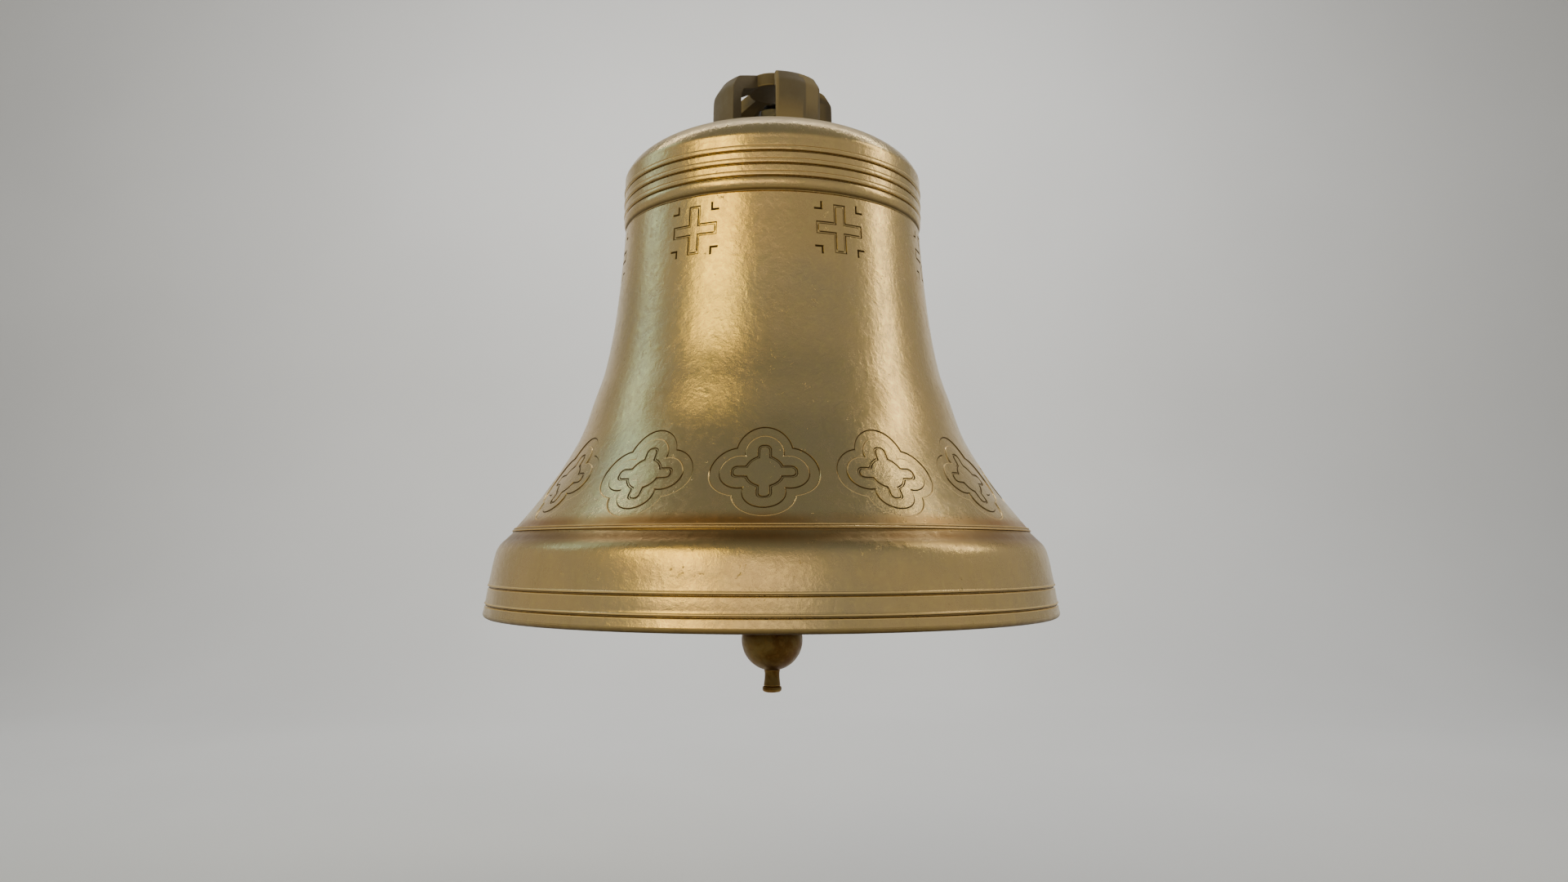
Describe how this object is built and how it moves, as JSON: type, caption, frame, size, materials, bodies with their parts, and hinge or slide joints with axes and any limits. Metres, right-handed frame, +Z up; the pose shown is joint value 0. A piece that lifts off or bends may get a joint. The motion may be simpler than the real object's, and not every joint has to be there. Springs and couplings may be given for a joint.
{
  "type": "church bell",
  "caption": "Bronze tower bell with a windowed crown, raised and engraved ornament, and a ball clapper that swings on a forged staple.",
  "frame": {"origin": "centre of the flat top of the crown hub, which bears against the headstock", "axes": "+Z up along the bell's axis, the bell hanging below; Y along the clapper pin, so the clapper swings in the XZ plane; the crown's windows face along X and Y"},
  "size_m": [0.9, 0.9, 1.015],
  "materials": {
    "bell_bronze": "aged cast bronze, mottled golden and olive patina with brighter worn edges",
    "clapper_bronze": "brown patina with worn edges",
    "bush_bronze": "turned, oiled",
    "forged_steel": "black forged, oiled, a little rust",
    "pad_leather": "greased leather"
  },
  "bodies": {
    "bell": {"bell_body": "bell_bronze", "crown_hub": "bell_bronze", "crown_canon_1": "bell_bronze", "crown_canon_2": "bell_bronze", "crown_canon_3": "bell_bronze", "crown_canon_4": "bell_bronze", "crown_staple": "forged_steel", "staple_inner_pad": "pad_leather", "staple_top_pad": "pad_leather", "staple_top_plate": "forged_steel", "staple_nut": "forged_steel", "staple_lock_nut": "forged_steel", "staple_split_pin": "forged_steel", "clapper_pin": "forged_steel", "thrust_washer_front": "forged_steel", "thrust_washer_back": "forged_steel", "pin_washer": "forged_steel", "pin_castle_nut": "forged_steel", "pin_split_pin": "forged_steel"},
    "clapper": {"clapper_bush": "bush_bronze", "clapper_shaft": "forged_steel", "clapper_ball": "clapper_bronze", "ball_lock_pin": "forged_steel", "clapper_flight": "clapper_bronze", "clapper_end_collar": "clapper_bronze"}
  },
  "joints": [
    {"name": "clapper_swing", "type": "hinge", "parent": "bell", "child": "clapper", "pos_m": [0, 0, -0.29], "axis": [0, -1, 0], "range_deg": [-30.9, 30.9]}
  ]
}
